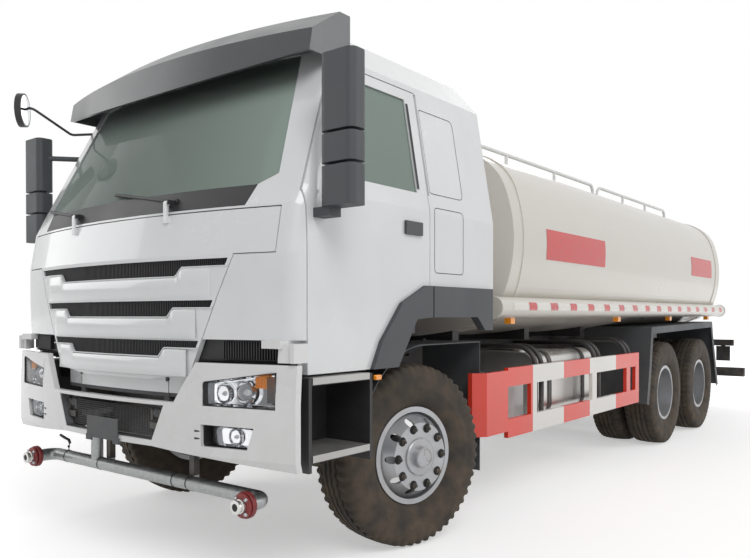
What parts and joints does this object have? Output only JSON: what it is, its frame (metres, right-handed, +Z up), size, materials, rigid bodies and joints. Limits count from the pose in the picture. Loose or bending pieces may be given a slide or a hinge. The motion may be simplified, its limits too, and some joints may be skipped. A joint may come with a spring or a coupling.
{
  "type": "water tanker truck",
  "caption": "Cab-over water tanker truck with a tilting cab, opening doors, front lid and manholes, steered front wheels, twin rear wheels and a front spray bar.",
  "frame": {"origin": "bottom centre of the whole truck, on the ground", "axes": "+Z up, the truck faces -Y, its left side is at +X"},
  "size_m": [2.924, 9.93, 2.962],
  "materials": {
    "cab_paint": "gloss",
    "white_paint": "satin",
    "black_plastic": "matte",
    "grey_plastic": "matte",
    "smoked_plastic": "gloss",
    "glass": "gloss",
    "lamp": "gloss",
    "amber_lamp": "gloss",
    "chassis_paint": "satin",
    "iron": "matte",
    "tank_paint": "satin",
    "rim_steel": "satin",
    "tyre": "matte",
    "aluminium": "brushed",
    "galvanised": "satin",
    "seat_cloth": "matte",
    "floor_cover": "matte",
    "guard_paint": "satin"
  },
  "bodies": {
    "chassis": {"front_bumper": "white_paint", "front_lamps": "lamp", "cab_steps": "black_plastic", "frame": "chassis_paint", "engine": "iron", "radiator": "chassis_paint", "front_axle": "iron", "springs": "iron", "drive_axles": "iron", "water_tank": "tank_paint", "subframe": "chassis_paint", "hose_tubes": "tank_paint", "marker_lamps": "amber_lamp", "top_rails": "white_paint", "side_guards": "guard_paint", "side_brackets": "chassis_paint", "fuel_tank": "aluminium", "battery_box": "white_paint", "right_side_tanks": "chassis_paint", "mudguards": "grey_plastic", "tail_frame": "chassis_paint", "spray_line": "galvanised"},
    "cab": {"cab_shell": "cab_paint", "cab_roof": "cab_paint", "cab_floor": "floor_cover", "windscreen": "glass", "cowl": "black_plastic", "sun_visor": "smoked_plastic", "cab_corners": "white_paint", "cab_arches": "grey_plastic", "seats": "seat_cloth", "dashboard": "grey_plastic", "round_mirror": "black_plastic"},
    "front_lid": {"front_lid": "cab_paint", "grille_backing": "black_plastic"},
    "door_left": {"door_left": "cab_paint", "door_glass_left": "glass", "door_fittings_left": "grey_plastic"},
    "door_right": {"door_right": "cab_paint", "door_glass_right": "glass", "door_fittings_right": "grey_plastic"},
    "steering_wheel": {"steering_wheel": "black_plastic"},
    "knuckle_left": {"knuckle_left": "iron"},
    "knuckle_right": {"knuckle_right": "iron"},
    "tie_rod": {"tie_rod": "iron"},
    "manhole_lid_front": {"manhole_lid_front": "tank_paint"},
    "manhole_lid_rear": {"manhole_lid_rear": "tank_paint"},
    "wheel_front_left": {"tyre_front_left": "tyre", "rim_front_left": "rim_steel"},
    "wheel_front_right": {"tyre_front_right": "tyre", "rim_front_right": "rim_steel"},
    "wheel_middle_left": {"tyre_middle_left": "tyre", "rim_middle_left": "rim_steel"},
    "wheel_middle_right": {"tyre_middle_right": "tyre", "rim_middle_right": "rim_steel"},
    "wheel_rear_left": {"tyre_rear_left": "tyre", "rim_rear_left": "rim_steel"},
    "wheel_rear_right": {"tyre_rear_right": "tyre", "rim_rear_right": "rim_steel"}
  },
  "joints": [
    {"name": "cab_tilt", "type": "hinge", "parent": "chassis", "child": "cab", "pos_m": [0, -4.865, 0.85], "axis": [1, 0, 0], "range_deg": [0, 45]},
    {"name": "front_lid", "type": "hinge", "parent": "cab", "child": "front_lid", "pos_m": [0, -4.857, 1.93], "axis": [-1, 0, 0], "range_deg": [0, 60]},
    {"name": "door_left", "type": "hinge", "parent": "cab", "child": "door_left", "pos_m": [1.215, -4.651, 1.8], "axis": [0, 0, -1], "range_deg": [0, 65]},
    {"name": "door_right", "type": "hinge", "parent": "cab", "child": "door_right", "pos_m": [-1.215, -4.651, 1.8], "axis": [0, 0, 1], "range_deg": [0, 65]},
    {"name": "steer_left", "type": "hinge", "parent": "chassis", "child": "knuckle_left", "pos_m": [0.905, -3.565, 0.535], "axis": [0, 0, 1], "range_deg": [-21, 49]},
    {"name": "steer_right", "type": "hinge", "parent": "chassis", "child": "knuckle_right", "pos_m": [-0.905, -3.565, 0.535], "axis": [0, 0, 1], "range_deg": [-21, 49]},
    {"name": "tie_rod_pivot", "type": "hinge", "parent": "knuckle_left", "child": "tie_rod", "pos_m": [0.94322, -3.4117, 0.4117], "axis": [0, 0, 1], "range_deg": [-49, 21]},
    {"name": "steering_wheel_turn", "type": "hinge", "parent": "cab", "child": "steering_wheel", "pos_m": [0.64, -4.255, 1.905], "axis": [0, 0.4695, 0.8829], "range_deg": [-340, 790]},
    {"name": "wheel_front_left", "type": "hinge", "parent": "knuckle_left", "child": "wheel_front_left", "pos_m": [1.01173, -3.5916, 0.535], "axis": [0.9703, -0.2419, 0], "continuous": true},
    {"name": "wheel_front_right", "type": "hinge", "parent": "knuckle_right", "child": "wheel_front_right", "pos_m": [-1.01173, -3.5384, 0.535], "axis": [0.9703, -0.2419, 0], "continuous": true},
    {"name": "wheel_middle_left", "type": "hinge", "parent": "chassis", "child": "wheel_middle_left", "pos_m": [0.912, 1.035, 0.535], "axis": [1, 0, 0], "continuous": true},
    {"name": "wheel_middle_right", "type": "hinge", "parent": "chassis", "child": "wheel_middle_right", "pos_m": [-0.912, 1.035, 0.535], "axis": [1, 0, 0], "continuous": true},
    {"name": "wheel_rear_left", "type": "hinge", "parent": "chassis", "child": "wheel_rear_left", "pos_m": [0.912, 2.385, 0.535], "axis": [1, 0, 0], "continuous": true},
    {"name": "wheel_rear_right", "type": "hinge", "parent": "chassis", "child": "wheel_rear_right", "pos_m": [-0.912, 2.385, 0.535], "axis": [1, 0, 0], "continuous": true},
    {"name": "manhole_lid_front", "type": "hinge", "parent": "chassis", "child": "manhole_lid_front", "pos_m": [0, -0.9, 2.732], "axis": [-1, 0, 0], "range_deg": [0, 100]},
    {"name": "manhole_lid_rear", "type": "hinge", "parent": "chassis", "child": "manhole_lid_rear", "pos_m": [0, 2.2, 2.732], "axis": [-1, 0, 0], "range_deg": [0, 100]}
  ],
  "couplings": [
    {"joint": "steer_right", "follows": "steer_left", "ratio": 1},
    {"joint": "tie_rod_pivot", "follows": "steer_left", "ratio": -1},
    {"joint": "steering_wheel_turn", "follows": "steer_left", "ratio": 16}
  ]
}
